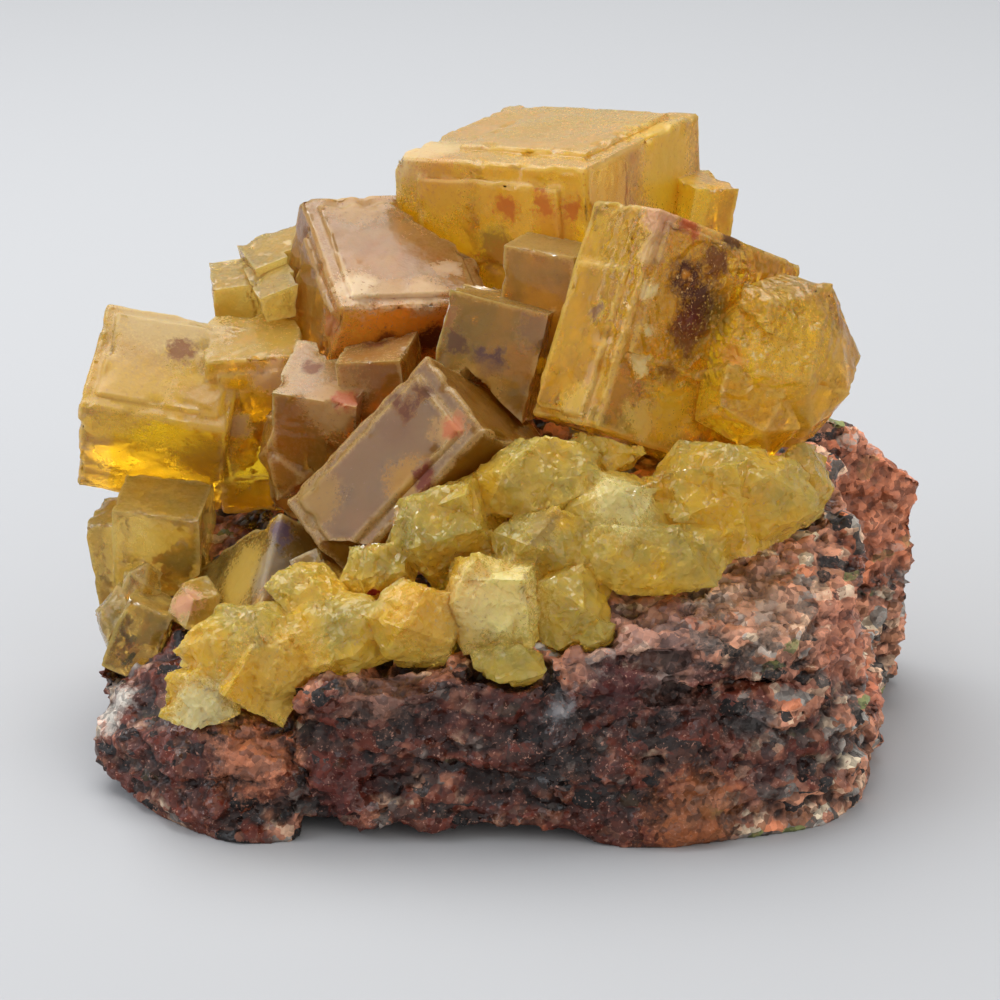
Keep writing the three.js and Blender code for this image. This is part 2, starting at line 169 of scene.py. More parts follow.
# %% [markdown]
# ## From a plain solid to a crystal's skin
#
# The solids are drawn with as few faces as their shape needs. A real cube of fluorite is flat only at first
# sight: thin growth layers end in steps, the edges are nicked, and broken parts show curved, shell-like
# breaks. Those are fractions of a millimetre, so the copy needs a fine mesh first. Subdividing long thin
# triangles would give long thin triangles. Instead the copy is sliced by parallel planes along the
# crystal's own edges, which keeps every face flat and every edge sharp.

# %% Read a crystal's own directions from its largest faces
def edge_directions(bm):
    """Three directions at right angles, from the face normals that cover the most area."""
    areas = {}
    for face in bm.faces:
        key = tuple(round(c, 1) for c in face.normal)
        areas[key] = areas.get(key, 0) + face.calc_area()
    ranked = [Vector(key).normalized() for key in sorted(areas, key=areas.get, reverse=True)]
    first = ranked[0]
    # Of the next seven, the one nearest to a right angle with the first.
    second = min(ranked[1:8], key=lambda n: abs(n.dot(first)))
    second = (second - first * second.dot(first)).normalized()
    return first, second, first.cross(second)


# %% Slice a copy of a solid into a fine grid
WELD_MM = 0.01
FLAT = math.radians(0.5)


def fine_copy(node, spacing_mm):
    """A bmesh copy of a solid, sliced along its own directions every spacing_mm."""
    bm = bmesh.new()
    bm.from_mesh(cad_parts[node].data)
    bmesh.ops.remove_doubles(bm, verts=bm.verts, dist=mm(WELD_MM))
    bmesh.ops.dissolve_limit(bm, angle_limit=FLAT, verts=bm.verts, edges=bm.edges)
    for direction in edge_directions(bm):
        reach = [v.co.dot(direction) for v in bm.verts]
        count = int((max(reach) - min(reach)) / mm(spacing_mm))
        for step in range(count):
            level = min(reach) + (step + 0.5) * mm(spacing_mm)
            whole = bm.verts[:] + bm.edges[:] + bm.faces[:]
            bmesh.ops.bisect_plane(
                bm, geom=whole, dist=mm(WELD_MM), plane_co=direction * level, plane_no=direction
            )
    bmesh.ops.triangulate(bm, faces=bm.faces)
    bm.normal_update()
    return bm


# %% [markdown]
# Each point of the fine grid is then moved along its normal by a few tenths of a millimetre. Three things
# add up: facets, where space is divided into cells and each cell is tilted its own way; growth steps, where
# a slow noise is cut into levels; and nicks, which only reach points close to a sharp edge. How far each
# point lies from such an edge is stored on the mesh, so that the material can make worn edges paler; that
# paleness is partly a painted highlight of the crystals' bright edges.

# %% Relief of a crystal's surface
SHARP = math.radians(25)
CHIP_SHARE = 0.42
TILT_SPREAD = 7.3
TERRACES_PER_MM = 0.22
LEVELS = 4
NICK_MM = 0.35
NICKS_PER_MM = 0.8
NICK_FROM = 0.05

# This noise starts from the clock unless it gets a seed, and the facets would differ from run to run.
NOISE_SEED = 7
noise.seed_set(NOISE_SEED)


def broken_facets(place, size, seed):
    """Height of a surface made of tilted cells, in cell sizes. Each cell tilts its own way."""
    spot = place / size + Vector((seed, seed, seed))
    nearest = noise.voronoi(spot)[1][0]
    tilt = noise.noise_vector(nearest * TILT_SPREAD)
    return (spot - nearest).dot(tilt)


def roughened(bm, facet_mm, facet_share, step_mm, seed):
    """Moves every point of a fine copy by facets, growth steps and nicked edges."""
    inner = [e for e in bm.edges if len(e.link_faces) == 2]
    edges = [e for e in inner if e.is_convex and e.calc_face_angle() > SHARP]
    rim = {v for e in edges for v in e.verts}
    tree = kdtree.KDTree(len(rim))
    for i, v in enumerate(rim):
        tree.insert(v.co, i)
    tree.balance()
    edge_mm = bm.verts.layers.float.new("edge_mm")
    moves = []
    for v in bm.verts:
        place = v.co * 1000
        facets = broken_facets(place, facet_mm, seed) * facet_mm * facet_share
        facets += broken_facets(place, facet_mm * CHIP_SHARE, seed) * facet_mm * CHIP_SHARE * facet_share
        terrace = noise.noise(place * TERRACES_PER_MM + Vector((seed, 0, 0)))
        steps = math.floor(LEVELS * terrace) / LEVELS * step_mm
        gap = tree.find(v.co)[2] * 1000
        v[edge_mm] = gap
        rim_share = max(0.0, 1 - gap / (2 * NICK_MM))
        bite = noise.noise(place * NICKS_PER_MM + Vector((0, seed, 0))) - NICK_FROM
        nick = max(0.0, bite) * 2 * NICK_MM * rim_share
        moves.append(v.normal * mm(facets + steps - nick))
    for v, move in zip(bm.verts, moves):
        v.co += move


# %% [markdown]
# A finished piece is told two things. Large crystals keep smooth faces between sharp edges. A crust is
# shaded flat, because every one of its small facets is a break of its own.

# %% Turn a fine copy into a piece that stands for its solid
def crystal(node, seed, spacing_mm=0.3, facet_mm=2.4, facet_share=0.02, step_mm=0.12, flat=False):
    """Builds the finished crystal that replaces a solid. A flat one shows each of its small faces."""
    bm = fine_copy(node, spacing_mm)
    roughened(bm, facet_mm, facet_share, step_mm, seed)
    mesh = bpy.data.meshes.new(f"{node}_skin")
    bm.to_mesh(mesh)
    bm.free()
    if not flat:
        mesh.shade_smooth()
        mesh.set_sharp_from_angle(angle=SHARP)
    piece = bpy.data.objects.new(f"{node}_skin", mesh)
    bpy.context.scene.collection.objects.link(piece)
    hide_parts(node)
    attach(piece, "root")
    print(f"{node}: {len(mesh.polygons)} faces")
    return piece


# %% [markdown]
# Each crystal gets its own seed, so no two carry the same steps. Small crystals are sliced finer than large
# ones. The two crusts get facets a little over a millimetre wide that tilt far more than those of the grown
# faces, and taller growth steps.

# %% Crystals
CUTS = {
    "top_crystal": dict(seed=3),
    "right_crystal": dict(seed=5, facet_share=0.05),
    "left_twin": dict(seed=7),
    "upper_left_crystal": dict(seed=9),
    "centre_crystal": dict(seed=11),
    "purple_edged_crystal": dict(seed=13, spacing_mm=0.25),
    "zoned_crystal": dict(seed=15, spacing_mm=0.25),
    "inner_crystals": dict(seed=17, spacing_mm=0.25),
    "back_left_crystals": dict(seed=19, spacing_mm=0.35),
    "left_edge_crystals": dict(seed=21, spacing_mm=0.25),
    "front_crust": dict(seed=23, spacing_mm=0.22, facet_mm=1.3, facet_share=0.3, step_mm=0.2, flat=True),
    "back_crust": dict(seed=25, spacing_mm=0.35, facet_mm=1.6, facet_share=0.25, step_mm=0.2, flat=True),
}
pieces = {node: crystal(node, **settings) for node, settings in CUTS.items()}

# %% [markdown]
# ## The granite's broken surface
#
# Granite is a mesh of grains a millimetre or two across: salmon and pale feldspar, grey quartz and black
# mica. Where it breaks, each grain ends a little higher or lower than the next, with a fine groove between.
# The solid has only the large lumps. A sculptor would carve the grains by hand. Here a voxel remesh gives
# an even, fine mesh, a smoothing takes off the solid's flat facets, and Geometry Nodes push each grain in
# or out. The function that divides space into grains serves the material too, so a grain has one height and
# one colour.

# %% Grains, for geometry and material alike
GRAIN_MM = 0.95
GRAIN_BEND_MM = 1.1
GRAIN_REACH_MM = 1.2
GRAIN_SQUEEZE = (0.75, 0.9, 1.25)


def grain_space(tree, place):
    """Bends space and squeezes it upright, so that the cells drawn in it are ragged, flattened grains."""
    bend = add(tree, "ShaderNodeTexNoise", Vector=place, Scale=1 / mm(GRAIN_BEND_MM), Detail=2.0)
    bent = add(
        tree,
        "ShaderNodeVectorMath",
        {"operation": "MULTIPLY_ADD"},
        s0=bend.outputs["Color"],
        s1=(mm(GRAIN_REACH_MM),) * 3,
        s2=place,
    ).outputs["Vector"]
    return add(
        tree, "ShaderNodeVectorMath", {"operation": "MULTIPLY"}, s0=bent, s1=GRAIN_SQUEEZE
    ).outputs["Vector"]


# %% Granite relief: grains and the grooves between them
GRAIN_STEP_MM = 0.4
GROOVE_MM = 0.16
GROOVE_WIDTH = 0.16

relief = bpy.data.node_groups.new("granite relief", "GeometryNodeTree")
relief.interface.new_socket("Geometry", in_out="INPUT", socket_type="NodeSocketGeometry")
relief.interface.new_socket("Geometry", in_out="OUTPUT", socket_type="NodeSocketGeometry")
solid = add(relief, "NodeGroupInput").outputs["Geometry"]
where = add(relief, "GeometryNodeInputPosition").outputs["Position"]
out_of_face = add(relief, "GeometryNodeInputNormal").outputs["Normal"]
spot = grain_space(relief, where)
cell = add(relief, "ShaderNodeTexVoronoi", Vector=spot, Scale=1 / mm(GRAIN_MM)).outputs["Color"]
rim = add(
    relief, "ShaderNodeTexVoronoi", {"feature": "DISTANCE_TO_EDGE"}, Vector=spot, Scale=1 / mm(GRAIN_MM)
)
step = add(relief, "ShaderNodeSeparateXYZ", Vector=cell).outputs["Y"]
step = add(
    relief, "ShaderNodeMapRange", Value=step, To_Min=-mm(GRAIN_STEP_MM) / 2, To_Max=mm(GRAIN_STEP_MM) / 2
)
groove = add(
    relief,
    "ShaderNodeMapRange",
    Value=rim.outputs["Distance"],
    From_Max=GROOVE_WIDTH,
    To_Min=-mm(GROOVE_MM),
    To_Max=0.0,
)
rise = add(relief, "ShaderNodeMath", s0=step.outputs["Result"], s1=groove.outputs["Result"]).outputs[0]
print("grains step by", GRAIN_STEP_MM, "mm with grooves", GROOVE_MM, "mm deep")

# %% [markdown]
# A break through granite isn't level either. Three slower patterns are added to the grains: a crumbled
# unevenness, ledges that lie flat because the rock splits along its layers, and whole chunks of a few
# grains that stand forward or have fallen out. Ledges and chunks are wider than they are high, so their
# space is squeezed sideways.

# %% Granite relief: crumbled ground, ledges and chunks
CRUMBLE_MM = 0.6
CRUMBLE_SIZE_MM = 2.6
LEDGE_MM = 0.4
LEDGE_SIZE_MM = 1.9
LEDGE_EDGE = (0.36, 0.64)
CHUNK_MM = 0.8
CHUNK_SIZE_MM = 2.3
LAYERING = (0.5, 0.5, 1.0)

crumble = add(
    relief, "ShaderNodeTexNoise", Vector=where, Scale=1 / mm(CRUMBLE_SIZE_MM), Detail=6.0, Roughness=0.68
).outputs["Fac"]
crumble = add(relief, "ShaderNodeMapRange", Value=crumble, To_Min=-mm(CRUMBLE_MM), To_Max=mm(CRUMBLE_MM))
rise = add(relief, "ShaderNodeMath", s0=rise, s1=crumble.outputs["Result"]).outputs[0]
layered = add(relief, "ShaderNodeVectorMath", {"operation": "MULTIPLY"}, s0=where, s1=LAYERING).outputs[0]
ledge = add(
    relief, "ShaderNodeTexNoise", Vector=layered, Scale=1 / mm(LEDGE_SIZE_MM), Detail=3.0, Roughness=0.55
).outputs["Fac"]
ledge = add(
    relief,
    "ShaderNodeMapRange",
    Value=ledge,
    From_Min=LEDGE_EDGE[0],
    From_Max=LEDGE_EDGE[1],
    To_Min=-mm(LEDGE_MM),
    To_Max=mm(LEDGE_MM),
)
rise = add(relief, "ShaderNodeMath", s0=rise, s1=ledge.outputs["Result"]).outputs[0]
chunk = add(relief, "ShaderNodeTexVoronoi", Vector=layered, Scale=1 / mm(CHUNK_SIZE_MM)).outputs["Color"]
chunk = add(relief, "ShaderNodeSeparateXYZ", Vector=chunk).outputs["X"]
chunk = add(relief, "ShaderNodeMapRange", Value=chunk, To_Min=-mm(CHUNK_MM) / 2, To_Max=mm(CHUNK_MM) / 2)
rise = add(relief, "ShaderNodeMath", s0=rise, s1=chunk.outputs["Result"]).outputs[0]
print("ledges rise", LEDGE_MM, "mm and chunks", CHUNK_MM / 2, "mm either way")

# %% [markdown]
# The specimen must stand as its solid does. So the relief fades out over the last millimetre above the
# floor, and only then is each point moved along its normal.

# %% Granite relief: clear of the floor, then moved
FADE_MM = (0.2, 1.2)

height = add(relief, "ShaderNodeSeparateXYZ", Vector=where).outputs["Z"]
fade = add(relief, "ShaderNodeMapRange", Value=height, From_Min=mm(FADE_MM[0]), From_Max=mm(FADE_MM[1]))
rise = add(relief, "ShaderNodeMath", {"operation": "MULTIPLY"}, s0=rise, s1=fade.outputs["Result"]).outputs[0]
push = add(
    relief, "ShaderNodeVectorMath", {"operation": "SCALE"}, s0=out_of_face, Scale=rise
).outputs["Vector"]
moved = add(relief, "GeometryNodeSetPosition", Geometry=solid, Offset=push).outputs["Geometry"]
add(relief, "NodeGroupOutput", Geometry=moved)
print("granite relief has", len(relief.nodes), "nodes")

# %% [markdown]
# The modifiers run in turn: the even mesh, then the softening that takes off the solid's flat facets, and
# the relief last, so that nothing blurs it. Points that would end below the floor are lifted back onto it.

# %% Granite piece
VOXEL_MM = 0.29
SOFTEN = 0.5
SOFTEN_TURNS = 2

rock_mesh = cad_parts["granite_matrix"].data.copy()
rock = bpy.data.objects.new("granite_skin", rock_mesh)
bpy.context.scene.collection.objects.link(rock)
voxels = rock.modifiers.new("even mesh", "REMESH")
voxels.mode = "VOXEL"
voxels.voxel_size = mm(VOXEL_MM)
smooth = rock.modifiers.new("no flat facets", "SMOOTH")
smooth.factor = SOFTEN
smooth.iterations = SOFTEN_TURNS
rock.modifiers.new("grains", "NODES").node_group = relief
finished = rock.evaluated_get(bpy.context.evaluated_depsgraph_get())
rock.data = bpy.data.meshes.new_from_object(finished)
rock.modifiers.clear()
rock.data.name = "granite_skin"
points = np.empty(len(rock.data.vertices) * 3, np.float32)
rock.data.vertices.foreach_get("co", points)
points[2::3] = np.maximum(points[2::3], 0)
rock.data.vertices.foreach_set("co", points)
rock.data.update()
rock.data.shade_smooth()
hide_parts("granite_matrix")
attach(rock, "root")
print("granite has", len(rock.data.polygons), "faces")

# %% [markdown]
# Shade gathers in the grooves of a broken stone, and light catches on its ridges. Here both are painted into
# its colour: painted shade in the grooves and a painted highlight on the ridges. A material can't see that
# by itself. So each point is compared with the average of its neighbours, spread over about two
# millimetres: how far it lies below or above that average is stored on the mesh, in millimetres, for the
# material to read.

# %% Store how deep each point lies
SPREAD_TURNS = 16

spots = points.reshape(-1, 3).astype(np.float64)
pairs = np.empty(len(rock.data.edges) * 2, np.int32)
rock.data.edges.foreach_get("vertices", pairs)
count = np.bincount(pairs, minlength=len(spots))[:, None]
average = spots.copy()
for _ in range(SPREAD_TURNS):
    total = np.stack(
        [
            np.bincount(pairs[0::2], average[pairs[1::2], axis], len(spots))
            + np.bincount(pairs[1::2], average[pairs[0::2], axis], len(spots))
            for axis in range(3)
        ],
        axis=1,
    )
    average = total / count
facing = np.empty(len(spots) * 3, np.float32)
rock.data.vertex_normals.foreach_get("vector", facing)
proud = ((spots - average) * facing.reshape(-1, 3)).sum(axis=1) * 1000
rock.data.attributes.new("proud_mm", "FLOAT", "POINT").data.foreach_set("value", proud.astype(np.float32))
print("points lie from", round(proud.min(), 2), "to", round(proud.max(), 2), "mm above their surroundings")


# %% [markdown]
# ## Stains and painted light
#
# Iron has run over this specimen: dark red spots, orange washes, and pale crusts where a face is etched.
# The same patches also paint some light: a sheen on pale tops, a glow and an edge highlight on the right
# crystal, and a lit patch on the granite. Each is a patch with a place and a radius in millimetres, a
# colour, and the share that it covers. Its rim is made ragged by bending the coordinates before the
# distance is measured, and by a fine noise that is added before the rim is drawn. A patch also hides the
# clear crystal below it, so the function passes on a colour and a share that is hidden.

# %% Ragged coordinates
RAGGED_MM = 1.2
DOTS_MM = 0.25
FRAY = 1.4


def ragged(tree, place, reach_mm):
    """Coordinates bent by a fine noise, and a grain from -0.5 to 0.5 that frays every rim."""
    bend = add(tree, "ShaderNodeTexNoise", Vector=place, Scale=1 / mm(RAGGED_MM), Detail=2.0).outputs["Color"]
    centred = add(
        tree, "ShaderNodeVectorMath", {"operation": "SUBTRACT"}, s0=bend, s1=(0.5, 0.5, 0.5)
    ).outputs["Vector"]
    bent = add(
        tree,
        "ShaderNodeVectorMath",
        {"operation": "MULTIPLY_ADD"},
        s0=centred,
        s1=(mm(reach_mm) * 2,) * 3,
        s2=place,
    ).outputs["Vector"]
    dots = add(tree, "ShaderNodeTexNoise", Vector=place, Scale=1 / mm(DOTS_MM), Detail=2.0, Roughness=0.7)
    fray = add(tree, "ShaderNodeMath", {"operation": "SUBTRACT"}, s0=dots.outputs["Fac"], s1=0.5).outputs[0]
    return bent, fray


def frayed(tree, amount, fray, soft=0.34):
    """An amount from 0 to 1 with its middle values split into bare and covered grains."""
    grainy = add(
        tree, "ShaderNodeMath", {"operation": "MULTIPLY_ADD"}, s0=fray, s1=FRAY, s2=amount
    ).outputs[0]
    return add(
        tree, "ShaderNodeMapRange", Value=grainy, From_Min=0.5 - soft, From_Max=0.5 + soft
    ).outputs["Result"]


# %% One patch: mostly a stain, in a few places painted light
def stain_and_light_patch(tree, finish, spot, fray, centre_mm, radius_mm, hex_colour, cover):
    """Lays one patch over a finish, which is a colour and the share of the clear crystal that is hidden. Most
    patches are stains; a few, as the lists mark, are painted light.
    """
    colour, hidden = finish
    centre = [mm(c) for c in centre_mm]
    away = add(tree, "ShaderNodeVectorMath", {"operation": "DISTANCE"}, s0=spot, s1=centre).outputs["Value"]
    near = add(
        tree, "ShaderNodeMapRange", Value=away, From_Min=mm(radius_mm * 1.5), From_Max=mm(radius_mm * 0.5)
    ).outputs["Result"]
    near = frayed(tree, near, fray)
    patch = add(tree, "ShaderNodeMath", {"operation": "MULTIPLY"}, s0=near, s1=cover).outputs[0]
    colour = add(
        tree, "ShaderNodeMix", {"data_type": "RGBA"}, s0=patch, s6=colour, s7=linear(hex_colour)
    ).outputs[2]
    hidden = add(tree, "ShaderNodeMath", {"operation": "MAXIMUM"}, s0=hidden, s1=patch).outputs[0]
    return colour, hidden


# %% [markdown]
# ## Granite
#
# A freshly broken granite is matt with small glints, because feldspar breaks along flat planes and quartz
# like glass. Its minerals could be painted by hand. Instead a random number for each grain picks its
# mineral: salmon and pale feldspar, grey quartz, black mica, and here and there green epidote.

# %% Minerals
MINERALS = [
    (0.00, "#c08466"),
    (0.22, "#d9b394"),
    (0.34, "#96664a"),
    (0.48, "#9a948c"),
    (0.60, "#bb8066"),
    (0.72, "#5c534c"),
    (0.79, "#d6c4a8"),
    (0.84, "#292320"),
    (0.91, "#c87a56"),
    (0.97, "#747a4a"),
]
granite = bpy.data.materials.new("broken pink granite")
granite.use_nodes = True
tree = granite.node_tree
stone = tree.nodes["Principled BSDF"]
place = add(tree, "ShaderNodeTexCoord").outputs["Object"]
cell = add(
    tree, "ShaderNodeTexVoronoi", Vector=grain_space(tree, place), Scale=1 / mm(GRAIN_MM)
).outputs["Color"]
dice = add(tree, "ShaderNodeSeparateXYZ", Vector=cell)
mineral = add(tree, "ShaderNodeValToRGB", Fac=dice.outputs["X"])
mineral.color_ramp.interpolation = "CONSTANT"
# A new ramp already has two elements, so the first two minerals need none.
for share, _ in MINERALS[2:]:
    mineral.color_ramp.elements.new(share)
for element, (share, hex_colour) in zip(mineral.color_ramp.elements, MINERALS):
    element.position = share
    element.color = linear(hex_colour)
print(len(MINERALS), "minerals")

# %% [markdown]
# Over the grains lies hematite, the red iron oxide that tints this rock from salmon to nearly black maroon.
# It is thickest low on the show side, so a slow noise is raised there before it is cut into bare and red
# ground. Each range says where that raise sets in and where it is full, in millimetres above the floor and
# to the right of the middle. Tinting multiplies the mineral's colour, as a thin film of oxide does.

# %% Hematite over the minerals
HEMATITE = "#622e1a"
DRIFT_MM = 4.5
LOW_MM = (13, 8.5)
LEFT_MM = (22, 12)
LOW_SIDE_SHARE = 0.19
RUST_EDGE = (0.46, 0.66)
MOST_RUST = 0.96

drift = add(tree, "ShaderNodeTexNoise", Vector=place, Scale=1 / mm(DRIFT_MM), Detail=4.0, Roughness=0.65)
parts = add(tree, "ShaderNodeSeparateXYZ", Vector=place).outputs
low = add(tree, "ShaderNodeMapRange", Value=parts["Z"], From_Min=mm(LOW_MM[0]), From_Max=mm(LOW_MM[1]))
left = add(tree, "ShaderNodeMapRange", Value=parts["X"], From_Min=mm(LEFT_MM[0]), From_Max=mm(LEFT_MM[1]))
zone = add(
    tree, "ShaderNodeMath", {"operation": "MULTIPLY"}, s0=low.outputs["Result"], s1=left.outputs["Result"]
).outputs[0]
rusty = add(
    tree, "ShaderNodeMath", {"operation": "MULTIPLY_ADD"}, s0=zone, s1=LOW_SIDE_SHARE, s2=drift.outputs["Fac"]
).outputs[0]
rust = add(
    tree, "ShaderNodeMapRange", Value=rusty, From_Min=RUST_EDGE[0], From_Max=RUST_EDGE[1], To_Max=MOST_RUST
).outputs["Result"]
bare = mineral.outputs["Color"]
tinted = add(
    tree,
    "ShaderNodeMix",
    {"data_type": "RGBA", "blend_type": "MULTIPLY"},
    s0=rust,
    s6=bare,
    s7=linear(HEMATITE),
).outputs[2]
print("hematite covers up to", MOST_RUST, "of a grain's colour")

# %% [markdown]
# Now the depth that was stored on the mesh comes in. Where a point lies deep, painted shade darkens the
# crevice, and where it stands proud a painted highlight makes it paler. Cleavage splits each grain further,
# into bits that catch the light one by one. Real ones are finer than a pixel of the picture, so they are
# drawn 0.42 mm wide, as coarse as they need to be to show.

# %% Painted shade in crevices, painted highlights on ridges, and cleavage bits
BIT_MM = 0.42
BIT_SHADES = (0.6, 1.6)
# Painted highlight and shade: how far a point must stand proud or lie deep, and how much paler or darker it
# is painted.
RIDGE_LIGHT_MM = 0.3
RIDGE_LIGHT_SHADES = (0.65, 1.4)
CREVICE_MM = -0.22
CREVICE_SHARE = 0.85
# Painted shade: the near-black colour that the deepest crevices get.
CREVICE_SHADE_COLOUR = "#240f0b"

bits = add(tree, "ShaderNodeTexVoronoi", Vector=place, Scale=1 / mm(BIT_MM)).outputs["Color"]
bit = add(tree, "ShaderNodeSeparateXYZ", Vector=bits).outputs["X"]
shade = add(tree, "ShaderNodeMapRange", Value=bit, To_Min=BIT_SHADES[0], To_Max=BIT_SHADES[1])
depth = add(tree, "ShaderNodeAttribute", {"attribute_name": "proud_mm"}).outputs["Fac"]
# Painted highlight and shade: paler where a point stands proud, darker where it lies deep.
ridge_light = add(
    tree,
    "ShaderNodeMapRange",
    Value=depth,
    From_Min=-RIDGE_LIGHT_MM,
    From_Max=RIDGE_LIGHT_MM,
    To_Min=RIDGE_LIGHT_SHADES[0],
    To_Max=RIDGE_LIGHT_SHADES[1],
)
shade = add(
    tree, "ShaderNodeMath", {"operation": "MULTIPLY"}, s0=shade.outputs["Result"], s1=ridge_light.outputs["Result"]
).outputs[0]
# Painted shade: the crevice share mixes in the dark shade colour.
crevice = add(
    tree, "ShaderNodeMapRange", Value=depth, From_Min=0.0, From_Max=CREVICE_MM, To_Max=CREVICE_SHARE
).outputs["Result"]
tinted = add(
    tree, "ShaderNodeMix", {"data_type": "RGBA"}, s0=crevice, s6=tinted, s7=linear(CREVICE_SHADE_COLOUR)
).outputs[2]
print("crevices are", CREVICE_SHADE_COLOUR, "below", CREVICE_MM, "mm")

# %% [markdown]
# The rock has its own large stains: the pale pink ledge below the crust, black and wine-red patches on the
# show side, two grey quartz lumps, and warm feldspar at the right. A pale patch high on the right is
# painted light, where the overhead light falls on the rock. They are placed where the specimen has them.

# %% The rock's stains
ROCK_REACH_MM = 1.5
ROCK_STAINS_AND_LIGHT = [
    ((8.7, -18.9, 13.0), 4.2, "#85655c", 0.6),
    # Painted light: this pale patch on the right top stands in for the overhead light falling there.
    ((16.2, -16.6, 15.6), 4.4, "#b98f72", 0.5),
    ((-7.4, -20.7, 10.4), 2.6, "#7a5a4c", 0.6),
    ((3.7, -21.6, 6.2), 2.4, "#120a0a", 0.85),
    ((-1.2, -21.4, 9.6), 3.0, "#3a1812", 0.5),
    ((16.2, -20.0, 4.3), 2.2, "#4a1c14", 0.6),
    ((22.1, -14.6, 10.8), 3.2, "#c2765a", 0.45),
    ((7.4, -20.6, 10.2), 1.8, "#42100e", 0.9),
    ((-9.3, -21.0, 3.4), 2.2, "#4a150c", 0.8),
    ((3.7, -21.3, 8.9), 1.1, "#77787a", 0.75),
    ((16.2, -19.7, 7.5), 1.2, "#6f6c6a", 0.6),
    ((-25.1, -11.5, 4.6), 1.6, "#b9b3a8", 0.8),
    ((-15.5, -20.4, 5.5), 2.4, "#c07a58", 0.6),
    ((25.4, 1.5, 14.3), 5.0, "#c0704c", 0.6),
    ((24.1, -9.3, 5.1), 2.4, "#b4694f", 0.6),
    ((12.4, -22.4, 1.9), 3.0, "#9a5a2e", 0.5),
]
spot, fray = ragged(tree, place, ROCK_REACH_MM)
finish = (tinted, 0.0)
for centre_mm, radius_mm, hex_colour, cover in ROCK_STAINS_AND_LIGHT:
    finish = stain_and_light_patch(tree, finish, spot, fray, centre_mm, radius_mm, hex_colour, cover)
speckled = add(
    tree, "ShaderNodeVectorMath", {"operation": "SCALE"}, s0=finish[0], Scale=shade
).outputs["Vector"]
tree.links.new(speckled, stone.inputs["Base Color"])
print(len(ROCK_STAINS_AND_LIGHT), "stains on the rock")

# %% [markdown]
# Gloss differs from grain to grain, from glassy quartz to dull feldspar. A fine grit roughens every face.
# Last, each cleavage bit leans its own way, so that some of them flash as the specimen is turned.

# %% Gloss, grit and glints
GLOSS = (0.22, 0.7)
GRIT_MM = 0.3
GRIT_HEIGHT_MM = 0.12
GRIT_STRENGTH = 0.5
LEAN = 0.9

gloss = add(
    tree, "ShaderNodeMapRange", Value=dice.outputs["Z"], To_Min=GLOSS[0], To_Max=GLOSS[1]
).outputs["Result"]
tree.links.new(gloss, stone.inputs["Roughness"])
grit = add(
    tree, "ShaderNodeTexNoise", Vector=place, Scale=1 / mm(GRIT_MM), Detail=2.0, Roughness=0.6
).outputs["Fac"]
bump = add(
    tree, "ShaderNodeBump", Strength=GRIT_STRENGTH, Distance=mm(GRIT_HEIGHT_MM), Height=grit
).outputs["Normal"]
lean = add(
    tree, "ShaderNodeVectorMath", {"operation": "SUBTRACT"}, s0=bits, s1=(0.5, 0.5, 0.5)
).outputs["Vector"]
split = add(
    tree, "ShaderNodeVectorMath", {"operation": "MULTIPLY_ADD"}, s0=lean, s1=(LEAN,) * 3, s2=bump
).outputs["Vector"]
split = add(tree, "ShaderNodeVectorMath", {"operation": "NORMALIZE"}, s0=split).outputs["Vector"]
tree.links.new(split, stone.inputs["Normal"])
rock.data.materials.clear()
rock.data.materials.append(granite)
print("granite material has", len(tree.nodes), "nodes")

# %% [markdown]
# ## Fluorite
#
# Fluorite is calcium fluoride. It bends light less than any common gem, with a refractive index of 1.434,
# and its lustre is that of glass. This one is honey yellow and only partly clear: fine veils inside scatter
# the light. Sheets inside the crystal could be modelled, but they would be hundreds. One Principled shader
# gives the same to the eye: its transmission share is the clear part, and the rest is a glowing milky body.
# A slow noise mixes two body colours, because the cloudy zones of a crystal are not one colour.

# %% The milky body
CLOUD_MM = 4.5
CLOUD_EDGE = (0.38, 0.62)


def milky_body(tree, place, body, deep):
    """A slow cloud from 0 to 1, and the body's colour that follows it."""
    cloud = add(
        tree, "ShaderNodeTexNoise", Vector=place, Scale=1 / mm(CLOUD_MM), Detail=3.0, Roughness=0.6
    ).outputs["Fac"]
    share = add(
        tree, "ShaderNodeMapRange", Value=cloud, From_Min=CLOUD_EDGE[0], From_Max=CLOUD_EDGE[1]
    ).outputs["Result"]
    colour = add(
        tree, "ShaderNodeMix", {"data_type": "RGBA"}, s0=share, s6=linear(body), s7=linear(deep)
    ).outputs[2]
    return cloud, colour


# %% [markdown]
# Faces that look up are etched: the weather has made them matt and pale, in patches. Their paleness is
# also a painted sheen, the reflection of the overhead light on them. Edges are rubbed pale too, and that
# paleness is partly a painted highlight of the bright edges. Both lie on the surface, so they hide most of
# the clear crystal below them. `FACING_UP` is how far up a face's normal must point to be etched and
# painted with sheen a little, and fully.

# %% Etched tops with painted sheen, and worn edges with painted highlights
# The next two colours: pale etched tops with a painted sheen of the overhead light, and rubbed edges with a
# painted highlight.
ETCHED_AND_SHEEN = "#c6a67a"
WORN_AND_HIGHLIGHT = "#e6c98a"
PALE_EDGE_MM = 0.5
PALE_HIDES = 0.8
FACING_UP = (0.5, 0.85)
PATCHES = (0.9, 0.4)


